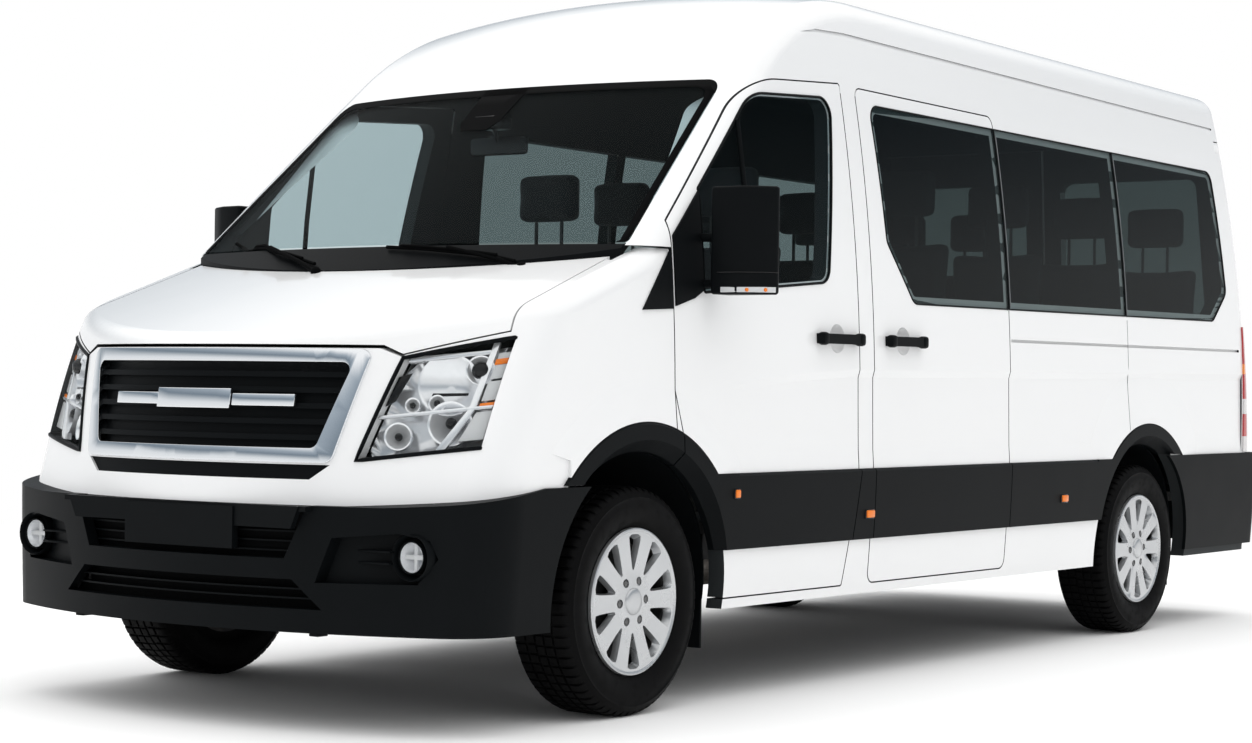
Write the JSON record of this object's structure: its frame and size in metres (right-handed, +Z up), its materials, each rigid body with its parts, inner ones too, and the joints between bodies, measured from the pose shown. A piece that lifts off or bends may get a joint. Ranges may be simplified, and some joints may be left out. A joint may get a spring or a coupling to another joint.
{
  "type": "minibus",
  "caption": "Long high-roof passenger minibus with hinged cab doors, twin rear doors, one side sliding door, steerable front wheels and an opening bonnet.",
  "frame": {"origin": "under the middle of the overall length and width, on the ground", "axes": "+X towards the front bumper, +Y towards the left side, +Z up"},
  "size_m": [5.91, 2.4456, 2.4406],
  "materials": {
    "body_paint": "gloss white paint",
    "tinted_glass": "dark tinted glass",
    "clear_glass": "green-grey safety glass",
    "lamp_lens": "clear lens over bright reflectors",
    "red_lens": "red lens",
    "chrome_trim": "bright chrome",
    "black_plastic": "dark grained plastic",
    "tyre_rubber": "dull black rubber",
    "wheel_silver": "silver paint",
    "chassis_black": "black underbody coating",
    "cast_metal": "rough cast",
    "pipe_steel": "dull steel",
    "dash_plastic": "soft grey plastic",
    "seat_cloth": "woven dark grey cloth"
  },
  "bodies": {
    "body": {"arch_liners": "black_plastic", "body_cladding": "black_plastic", "bumper_cover": "body_paint", "chassis_rails": "chassis_black", "cowl_panel": "black_plastic", "dashboard": "dash_plastic", "engine_block": "cast_metal", "exhaust": "pipe_steel", "firewall": "chassis_black", "floor_pan": "chassis_black", "fog_lamps": "lamp_lens", "front_bumper": "black_plastic", "front_carrier": "chassis_black", "front_suspension": "chassis_black", "front_wing_left": "body_paint", "front_wing_right": "body_paint", "fuel_tank": "chassis_black", "grille_frame": "chrome_trim", "grille_slats": "black_plastic", "head_restraints": "seat_cloth", "headlamps": "lamp_lens", "mud_flaps": "black_plastic", "radiator": "chassis_black", "rear_axle": "chassis_black", "rear_bumper": "black_plastic", "roof_panel": "body_paint", "seat_backs": "seat_cloth", "seat_cushions": "seat_cloth", "seat_frames": "chassis_black", "side_glass": "tinted_glass", "side_panel_left": "body_paint", "side_panel_right": "body_paint", "sliding_door": "body_paint", "sliding_handle": "black_plastic", "tail_lamps": "red_lens", "windscreen": "clear_glass"},
    "front_door_left_leaf": {"front_door_left": "body_paint", "front_door_glass_left": "clear_glass", "door_trim_left": "black_plastic", "mirror_left": "black_plastic"},
    "rear_door_left_leaf": {"rear_door_left": "body_paint", "rear_door_glass_left": "tinted_glass"},
    "knuckle_left_body": {"knuckle_left": "cast_metal"},
    "wheel_front_left": {"tyre_front_left": "tyre_rubber", "rim_front_left": "wheel_silver"},
    "wheel_rear_left": {"tyre_rear_left": "tyre_rubber", "rim_rear_left": "wheel_silver"},
    "front_door_right_leaf": {"front_door_right": "body_paint", "front_door_glass_right": "clear_glass", "door_trim_right": "black_plastic", "mirror_right": "black_plastic"},
    "rear_door_right_leaf": {"rear_door_right": "body_paint", "rear_door_glass_right": "tinted_glass"},
    "knuckle_right_body": {"knuckle_right": "cast_metal"},
    "wheel_front_right": {"tyre_front_right": "tyre_rubber", "rim_front_right": "wheel_silver"},
    "wheel_rear_right": {"tyre_rear_right": "tyre_rubber", "rim_rear_right": "wheel_silver"},
    "bonnet_lid": {"bonnet": "body_paint"},
    "steering_wheel_body": {"steering_wheel": "dash_plastic"}
  },
  "joints": [
    {"name": "steer_left", "type": "hinge", "parent": "body", "child": "knuckle_left_body", "pos_m": [1.951, 0.74, 0.352], "axis": [0, 0, 1], "range_deg": [-35, 35]},
    {"name": "spin_front_left", "type": "hinge", "parent": "knuckle_left_body", "child": "wheel_front_left", "pos_m": [1.951, 0.855, 0.352], "axis": [0, 1, 0], "continuous": true},
    {"name": "spin_rear_left", "type": "hinge", "parent": "body", "child": "wheel_rear_left", "pos_m": [-1.714, 0.855, 0.352], "axis": [0, 1, 0], "continuous": true},
    {"name": "front_door_left_hinge", "type": "hinge", "parent": "body", "child": "front_door_left_leaf", "pos_m": [1.8, 1.004, 1], "axis": [0, 0, -1], "range_deg": [0, 70]},
    {"name": "rear_door_left_hinge", "type": "hinge", "parent": "body", "child": "rear_door_left_leaf", "pos_m": [-2.894, 0.892, 1.3], "axis": [0, 0, -1], "range_deg": [0, 90]},
    {"name": "steer_right", "type": "hinge", "parent": "body", "child": "knuckle_right_body", "pos_m": [1.951, -0.74, 0.352], "axis": [0, 0, 1], "range_deg": [-35, 35]},
    {"name": "spin_front_right", "type": "hinge", "parent": "knuckle_right_body", "child": "wheel_front_right", "pos_m": [1.951, -0.855, 0.352], "axis": [0, 1, 0], "continuous": true},
    {"name": "spin_rear_right", "type": "hinge", "parent": "body", "child": "wheel_rear_right", "pos_m": [-1.714, -0.855, 0.352], "axis": [0, 1, 0], "continuous": true},
    {"name": "front_door_right_hinge", "type": "hinge", "parent": "body", "child": "front_door_right_leaf", "pos_m": [1.8, -1.004, 1], "axis": [0, 0, 1], "range_deg": [0, 70]},
    {"name": "rear_door_right_hinge", "type": "hinge", "parent": "body", "child": "rear_door_right_leaf", "pos_m": [-2.894, -0.892, 1.3], "axis": [0, 0, 1], "range_deg": [0, 90]},
    {"name": "bonnet_hinge", "type": "hinge", "parent": "body", "child": "bonnet_lid", "pos_m": [1.971, 0, 1.455], "axis": [0, -1, 0], "range_deg": [0, 55]},
    {"name": "steering_wheel_turn", "type": "hinge", "parent": "body", "child": "steering_wheel_body", "pos_m": [1.431, -0.4, 1.19], "axis": [-0.6428, 0, 0.766], "range_deg": [-490, 490]}
  ],
  "couplings": [
    {"joint": "steer_right", "follows": "steer_left", "ratio": 1},
    {"joint": "steering_wheel_turn", "follows": "steer_left", "ratio": 14}
  ]
}
